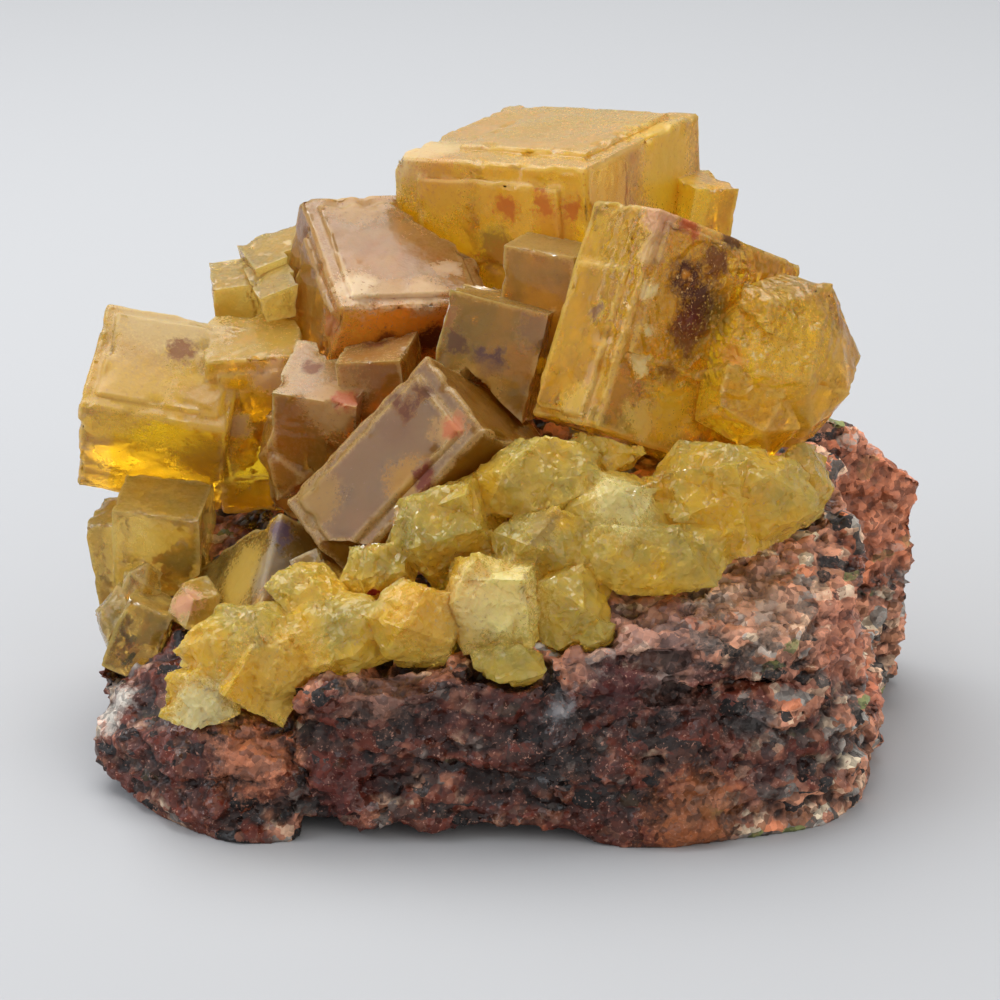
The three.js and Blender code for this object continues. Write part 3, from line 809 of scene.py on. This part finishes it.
def weathering_and_painted_light(tree, normal, cloud, fray, colour, frost_and_sheen, worn_and_highlight):
    """Lays etched tops with a painted sheen and worn edges with a painted highlight over a colour. Gives the
    colour and the share that is hidden.
    """
    # Painted sheen: faces that look up are made pale, for etching and for the overhead light's reflection on
    # them.
    up = add(tree, "ShaderNodeSeparateXYZ", Vector=normal).outputs["Z"]
    up = add(
        tree, "ShaderNodeMapRange", Value=up, From_Min=FACING_UP[0], From_Max=FACING_UP[1]
    ).outputs["Result"]
    patchy = add(
        tree,
        "ShaderNodeMapRange",
        Value=cloud,
        From_Min=0.3,
        From_Max=0.7,
        To_Min=PATCHES[0],
        To_Max=PATCHES[1],
    )
    up = add(tree, "ShaderNodeMath", {"operation": "MULTIPLY"}, s0=up, s1=patchy.outputs["Result"]).outputs[0]
    etched_and_sheen = add(
        tree, "ShaderNodeMath", {"operation": "MULTIPLY"}, s0=frayed(tree, up, fray, 0.5), s1=frost_and_sheen
    ).outputs[0]
    colour = add(
        tree, "ShaderNodeMix", {"data_type": "RGBA"}, s0=etched_and_sheen, s6=colour, s7=linear(ETCHED_AND_SHEEN)
    ).outputs[2]
    # Painted highlight: points near a sharp edge are made pale, for rubbed edges and the edges' bright
    # highlights.
    edge = add(tree, "ShaderNodeAttribute", {"attribute_name": "edge_mm"}).outputs["Fac"]
    edge = add(tree, "ShaderNodeMapRange", Value=edge, From_Min=PALE_EDGE_MM, From_Max=0.0).outputs["Result"]
    edge = add(
        tree, "ShaderNodeMath", {"operation": "MULTIPLY"}, s0=frayed(tree, edge, fray, 0.3), s1=worn_and_highlight
    ).outputs[0]
    colour = add(tree, "ShaderNodeMix", {"data_type": "RGBA"}, s0=edge, s6=colour, s7=linear(WORN_AND_HIGHLIGHT)).outputs[2]
    pale = add(tree, "ShaderNodeMath", {"operation": "MAXIMUM"}, s0=etched_and_sheen, s1=edge).outputs[0]
    hidden = add(tree, "ShaderNodeMath", {"operation": "MULTIPLY"}, s0=pale, s1=PALE_HIDES).outputs[0]
    return colour, hidden


# %% [markdown]
# No grown face is a mirror: it ripples. A shell is the mark of a blow on a glass-like crystal: rings that
# spread from one point over the broken face. The crust is broken through and through, so its surface is cut
# into facets that glitter. Its real facets go down to a tenth of a millimetre. They are drawn 0.42 mm wide,
# to show in a picture. Rings are `RING_HEIGHT` times as high as they are wide.

# %% Ripples, shell-like breaks and facets
RIPPLE_MM = 0.6
RIPPLE_HEIGHT_MM = 0.08
RIPPLE_STRENGTH = 0.35
RING_MM = 0.45
RING_HEIGHT = 0.6
RING_STRENGTH = 0.7
FACET_MM = 0.42


def lively(tree, place, spot, shell, facet):
    """The surface's normal: ripples, then rings inside the shell's radius, then facets that lean about."""
    ripple = add(
        tree, "ShaderNodeTexNoise", Vector=place, Scale=1 / mm(RIPPLE_MM), Detail=2.0, Roughness=0.6
    ).outputs["Fac"]
    normal = add(
        tree, "ShaderNodeBump", Strength=RIPPLE_STRENGTH, Distance=mm(RIPPLE_HEIGHT_MM), Height=ripple
    ).outputs["Normal"]
    if shell:
        centre_mm, radius_mm = shell
        start = [mm(c) for c in centre_mm]
        away = add(
            tree, "ShaderNodeVectorMath", {"operation": "DISTANCE"}, s0=spot, s1=start
        ).outputs["Value"]
        ring = add(tree, "ShaderNodeMath", {"operation": "PINGPONG"}, s0=away, s1=mm(RING_MM)).outputs[0]
        near = add(
            tree, "ShaderNodeMapRange", Value=away, From_Min=mm(radius_mm), From_Max=mm(radius_mm * 0.7)
        ).outputs["Result"]
        height = add(tree, "ShaderNodeMath", {"operation": "MULTIPLY"}, s0=ring, s1=near).outputs[0]
        normal = add(
            tree, "ShaderNodeBump", Strength=RING_STRENGTH, Distance=RING_HEIGHT, Height=height, Normal=normal
        ).outputs["Normal"]
    if facet:
        chip = add(tree, "ShaderNodeTexVoronoi", Vector=place, Scale=1 / mm(FACET_MM)).outputs["Color"]
        lean = add(
            tree, "ShaderNodeVectorMath", {"operation": "SUBTRACT"}, s0=chip, s1=(0.5, 0.5, 0.5)
        ).outputs["Vector"]
        turned = add(
            tree, "ShaderNodeVectorMath", {"operation": "MULTIPLY_ADD"}, s0=lean, s1=(facet,) * 3, s2=normal
        ).outputs["Vector"]
        normal = add(tree, "ShaderNodeVectorMath", {"operation": "NORMALIZE"}, s0=turned).outputs["Vector"]
    return normal


# %% [markdown]
# The parts come together in one shader. Where the crystal is cloudy, less light passes, and where it is
# etched, worn or stained, and where sheen and edge highlights are painted, less still, and the surface is
# duller. A Volume Absorption node takes the blue out of the light on its way through, more so the longer
# the way. A little light also scatters just below the surface.

# %% Fluorite
FLUORITE_IOR = 1.434
SPECULAR_LEVEL = 0.35
SCATTER_SHARE = 0.4
SCATTER_MM = 1.6
SCATTER_REACH = (1.0, 0.7, 0.25)
STAIN_REACH_MM = 0.9
STAIN_ROUGHNESS = 0.6
VEIL_EDGE = (0.35, 0.65)
CLEARER = 0.15
CLOUDIER = 0.2


def fluorite(
    name,
    body,
    deep,
    absorb,
    density,
    clear,
    frost_and_sheen,
    stains_and_light,
    rough=0.1,
    worn_and_highlight=0.35,
    facet=0.0,
    shell=None,
):
    """A fluorite. Density is per metre, and a shell is a centre and a radius in millimetres."""
    material = bpy.data.materials.new(name)
    material.use_nodes = True
    tree = material.node_tree
    shader = tree.nodes["Principled BSDF"]
    coordinates = add(tree, "ShaderNodeTexCoord").outputs
    place = coordinates["Object"]
    cloud, colour = milky_body(tree, place, body, deep)
    spot, fray = ragged(tree, place, STAIN_REACH_MM)
    finish = weathering_and_painted_light(tree, coordinates["Normal"], cloud, fray, colour, frost_and_sheen, worn_and_highlight)
    for centre_mm, radius_mm, hex_colour, cover in stains_and_light:
        finish = stain_and_light_patch(tree, finish, spot, fray, centre_mm, radius_mm, hex_colour, cover)
    colour, hidden = finish
    tree.links.new(colour, shader.inputs["Base Color"])
    veil = add(
        tree,
        "ShaderNodeMapRange",
        Value=cloud,
        From_Min=VEIL_EDGE[0],
        From_Max=VEIL_EDGE[1],
        To_Min=min(clear + CLEARER, 1.0),
        To_Max=clear - CLOUDIER,
    ).outputs["Result"]
    bare = add(tree, "ShaderNodeMath", {"operation": "SUBTRACT"}, s0=1.0, s1=hidden).outputs[0]
    passing = add(tree, "ShaderNodeMath", {"operation": "MULTIPLY"}, s0=veil, s1=bare).outputs[0]
    tree.links.new(passing, shader.inputs["Transmission Weight"])
    dull = add(
        tree, "ShaderNodeMapRange", Value=hidden, To_Min=rough, To_Max=STAIN_ROUGHNESS
    ).outputs["Result"]
    tree.links.new(dull, shader.inputs["Roughness"])
    tree.links.new(lively(tree, place, spot, shell, facet), shader.inputs["Normal"])
    shader.inputs["IOR"].default_value = FLUORITE_IOR
    shader.inputs["Specular IOR Level"].default_value = SPECULAR_LEVEL
    shader.inputs["Subsurface Weight"].default_value = SCATTER_SHARE
    shader.inputs["Subsurface Radius"].default_value = SCATTER_REACH
    shader.inputs["Subsurface Scale"].default_value = mm(SCATTER_MM)
    depth = add(tree, "ShaderNodeVolumeAbsorption", Color=linear(absorb), Density=density)
    tree.links.new(depth.outputs["Volume"], tree.nodes["Material Output"].inputs["Volume"])
    print(name, "has", len(tree.nodes), "nodes and", len(stains_and_light), "stains_and_light")
    return material


# %% [markdown]
# The three largest show crystals are the clearest and the most golden. Their stains are iron: orange
# washes, and dark red spots where it has dried. The pale patches on their tops are etched and also a
# painted sheen of the overhead light, and two bright yellow patches on the right crystal are a painted glow
# of light coming through it. The right crystal's right part is broken off, so it alone has a shell.

# %% Honey fluorite
HONEY = dict(body="#fcd944", deep="#e6b324", absorb="#fff03c", density=130.0)

top = fluorite(
    "honey fluorite of the top crystal",
    **HONEY,
    clear=0.82,
    frost_and_sheen=0.55,
    stains_and_light=[
        # Pale patch on the top: etching and a painted sheen of the overhead light.
        ((-5.5, 9.6, 36.6), 3.4, "#cdb48a", 0.75),
        ((-3.9, 5.9, 34.6), 2.2, "#c47f2c", 0.6),
        ((0.6, 3.4, 34.0), 0.9, "#b8440c", 0.8),
        ((2.8, 2.2, 34.7), 0.8, "#b8440c", 0.8),
        ((4.7, 1.6, 34.5), 0.7, "#b8440c", 0.8),
        ((3.5, 1.8, 33.0), 1.6, "#d0701c", 0.6),
        ((-0.3, 3.9, 31.1), 1.4, "#5d3110", 0.7),
        ((0.6, 4.0, 29.4), 2.2, "#b86d1e", 0.6),
        ((11.4, 11.0, 35.0), 4.2, "#f4c42a", 0.5),
    ],
)
right = fluorite(
    "honey fluorite of the broken right crystal",
    **HONEY,
    clear=0.84,
    frost_and_sheen=0.3,
    shell=((14.5, -9.5, 32.5), 10.0),
    stains_and_light=[
        ((12.2, -7.9, 31.4), 3.4, "#b0681c", 0.6),
        ((12.8, -7.7, 30.6), 1.8, "#400a08", 0.95),
        ((11.9, -8.5, 29.0), 1.6, "#5a160c", 0.85),
        ((13.6, -6.6, 33.3), 1.1, "#5c180c", 0.85),
        ((11.6, -8.1, 32.8), 1.2, "#400a08", 0.95),
        ((11.7, -8.2, 32.7), 0.5, "#c07a1e", 1.0),
        ((14.7, -5.2, 34.2), 0.7, "#4a0e0a", 0.9),
        ((10.6, -9.5, 26.7), 0.8, "#641008", 0.9),
        # A pale spot on the edge: white growth edge and a painted edge highlight.
        ((9.3, -9.4, 32.4), 0.6, "#e2cc94", 0.8),
        ((6.1, -8.4, 30.6), 0.8, "#5c2c38", 0.85),
        ((12.0, -6.9, 35.7), 0.9, "#a8491d", 0.95),
        ((14.8, -9.0, 27.8), 0.8, "#cf6636", 0.85),
        ((10.1, -7.9, 36.6), 1.5, "#bf8c72", 0.85),
        ((9.6, -8.6, 34.6), 1.0, "#c29a74", 0.75),
        # Two more pale spots on the same edge: white growth edge and a painted edge highlight.
        ((9.0, -10.0, 30.0), 0.7, "#e2cc94", 0.8),
        ((8.8, -10.6, 27.6), 0.7, "#e2cc94", 0.8),
        ((4.7, -11.1, 25.3), 1.4, "#d6b468", 0.5),
        ((8.6, -11.0, 24.4), 1.3, "#d9ba70", 0.5),
        # Painted glow: these two bright yellow patches paint the light that comes through the broken knob and
        # the lower front face.
        ((17.6, -7.4, 27.6), 4.2, "#f2cb2c", 0.35),
        ((11.5, -10.6, 24.6), 2.6, "#e6aa1c", 0.45),
    ],
)
twin = fluorite(
    "honey fluorite of the left twin",
    **HONEY,
    clear=0.82,
    frost_and_sheen=0.5,
    stains_and_light=[
        # The first two patches are pale tops: etching and a painted sheen of the overhead light.
        ((-22.1, 4.0, 26.0), 4.0, "#b9a074", 0.8),
        ((-24.2, -0.6, 23.5), 3.2, "#b98f52", 0.6),
        ((-21.0, 1.8, 24.8), 0.9, "#74340c", 0.8),
        ((-14.9, -0.4, 23.7), 1.4, "#cf9b78", 0.7),
        ((-17.3, 0.1, 20.1), 0.9, "#d8ae88", 0.8),
        ((-19.1, -0.9, 17.9), 2.2, "#8f5412", 0.6),
    ],
)

# %% [markdown]
# The crystals in the middle are smoky. More of them is milky, the two body colours are browner, and their
# tops have pale patches, etched crusts that are also a painted sheen of the overhead light, beside an
# orange glow low on the front face. The centre crystal is the dullest of them.

# %% Stained fluorite
STAINED = dict(body="#dca644", deep="#b27422", absorb="#fce444", density=120.0)

upper = fluorite(
    "smoky fluorite of the upper left crystal",
    **STAINED,
    clear=0.76,
    frost_and_sheen=0.45,
    stains_and_light=[
        ((-6.2, -2.2, 25.2), 4.4, "#ea861c", 0.8),
        # The next five patches are pale tops: etched crust and a painted reflection of the overhead light.
        ((-9.0, -1.0, 29.9), 1.7, "#d6bc98", 0.95),
        ((-7.0, -0.8, 29.7), 1.3, "#b8966e", 0.9),
        ((-4.9, -0.3, 29.5), 1.5, "#c8a880", 0.9),
        ((-3.4, 2.5, 30.2), 0.9, "#bf9f7c", 0.85),
        ((-9.6, 7.4, 33.3), 2.6, "#b8946a", 0.6),
        ((-4.5, 0.3, 25.9), 1.1, "#480c08", 0.9),
        ((-3.0, 0.2, 27.0), 1.1, "#9a3010", 0.7),
        ((-7.4, -0.8, 26.4), 0.8, "#641408", 0.8),
        ((-11.1, -1.4, 27.5), 1.0, "#943a12", 0.7),
    ],
)
centre = fluorite(
    "smoky fluorite of the centre crystal",
    body="#b98020",
    deep="#8a5812",
    absorb="#f8d830",
    density=110.0,
    clear=0.6,
    rough=0.16,
    frost_and_sheen=0.1,
    stains_and_light=[
        ((-5.6, -12.4, 20.6), 1.6, "#c08a1c", 0.5),
        ((-4.9, -9.8, 25.7), 0.8, "#4a140c", 0.85),
        ((-5.8, -9.9, 24.6), 0.7, "#541c10", 0.85),
        ((-6.6, -9.0, 24.9), 0.5, "#541c10", 0.85),
        ((-3.2, -12.3, 24.2), 1.1, "#c8a060", 0.6),
        ((-3.0, -12.4, 24.3), 0.8, "#b8623c", 0.85),
        ((-4.6, -13.2, 21.2), 0.7, "#641014", 0.9),
        ((-11.6, -10.2, 18.6), 1.8, "#a08040", 0.5),
    ],
)
inner = fluorite(
    "smoky fluorite of the inner crystals",
    **STAINED,
    clear=0.7,
    frost_and_sheen=0.6,
    stains_and_light=[
        ((-10.5, -5.9, 23.6), 2.2, "#b48c5c", 0.75),
        ((-9.7, -5.7, 23.9), 0.9, "#b0502c", 0.8),
        ((-12.1, -2.8, 25.0), 0.7, "#6a2010", 0.8),
        ((-8.0, -2.2, 26.4), 0.7, "#5c1810", 0.8),
    ],
)

# %% [markdown]
# While a fluorite grows, the water around it changes, and the colour of its layers with it. The small pale
# crystals between the large ones end in purple layers, and one has a blue grey band. A zone is drawn as a
# stain is.

# %% Zoned fluorite
ZONED = dict(body="#dcb45c", deep="#b48c40", absorb="#fbe258", density=90.0)

edged = fluorite(
    "pale fluorite with purple zones",
    **ZONED,
    clear=0.66,
    frost_and_sheen=0.35,
    stains_and_light=[
        ((-0.7, -4.9, 26.2), 1.1, "#4b2c46", 0.85),
        ((2.4, -5.0, 28.2), 1.3, "#6d4450", 0.6),
        ((-2.6, -4.3, 27.2), 0.9, "#4a2030", 0.8),
        ((-3.4, -3.8, 28.8), 0.9, "#8a3b30", 0.6),
        ((-1.4, -5.0, 24.6), 1.6, "#b98a3e", 0.6),
    ],
)
banded = fluorite(
    "pale fluorite with a blue grey band",
    **ZONED,
    clear=0.84,
    frost_and_sheen=0.2,
    stains_and_light=[
        ((-14.0, -9.1, 16.0), 1.0, "#3f2f5c", 0.85),
        ((-14.4, -11.1, 14.2), 1.8, "#7b7c84", 0.6),
        ((-16.7, -8.9, 12.7), 2.6, "#c8a53c", 0.6),
    ],
)

# %% [markdown]
# The crust along the front is the youngest growth, thin and broken. So little crystal lies behind each face
# that it looks lemon yellow instead of honey. Its facets glitter, and it has nearly no etched tops with
# their painted sheen. The cubes at the left edge are the same growth, but whole, and a little greener.

# %% Lemon fluorite
LEMON = dict(body="#ffea78", deep="#f7c83e", absorb="#ffe650", density=60.0)

crust = fluorite(
    "glittering lemon fluorite",
    **LEMON,
    clear=0.66,
    rough=0.06,
    frost_and_sheen=0.1,
    worn_and_highlight=0.08,
    facet=0.55,
    stains_and_light=[
        ((-3.6, -19.9, 14.6), 3.0, "#c4831a", 0.6),
        ((-13.6, -20.4, 10.2), 3.4, "#c98e20", 0.6),
        ((-0.3, -19.9, 15.6), 2.8, "#efe0a0", 0.6),
        ((2.5, -17.1, 19.5), 1.4, "#74502e", 0.7),
        ((7.7, -16.4, 20.9), 2.2, "#ddd6a8", 0.5),
        ((-18.5, -20.4, 8.2), 2.0, "#d6d2a8", 0.7),
        ((-7.8, -16.1, 14.6), 0.4, "#8c2418", 1.0),
    ],
)
side = fluorite(
    "greenish lemon fluorite",
    body="#f4da7c",
    deep="#dcb44a",
    absorb="#fce060",
    density=80.0,
    clear=0.8,
    frost_and_sheen=0.3,
    facet=0.2,
    stains_and_light=[((-20.3, -9.7, 11.5), 1.1, "#c98c70", 0.85)],
)

# %% Assign the finishes
FINISH = {
    "top_crystal": (top, "fluorite_honey"),
    "right_crystal": (right, "fluorite_honey"),
    "left_twin": (twin, "fluorite_honey"),
    "upper_left_crystal": (upper, "fluorite_stained"),
    "centre_crystal": (centre, "fluorite_stained"),
    "inner_crystals": (inner, "fluorite_stained"),
    "purple_edged_crystal": (edged, "fluorite_zoned"),
    "zoned_crystal": (banded, "fluorite_zoned"),
    "front_crust": (crust, "fluorite_yellow"),
    "back_crust": (crust, "fluorite_yellow"),
    "back_left_crystals": (side, "fluorite_yellow"),
    "left_edge_crystals": (side, "fluorite_yellow"),
}
for node, (material, slot) in FINISH.items():
    pieces[node].data.materials.clear()
    pieces[node].data.materials.append(material)
print(len(FINISH), "crystal pieces have their finish")
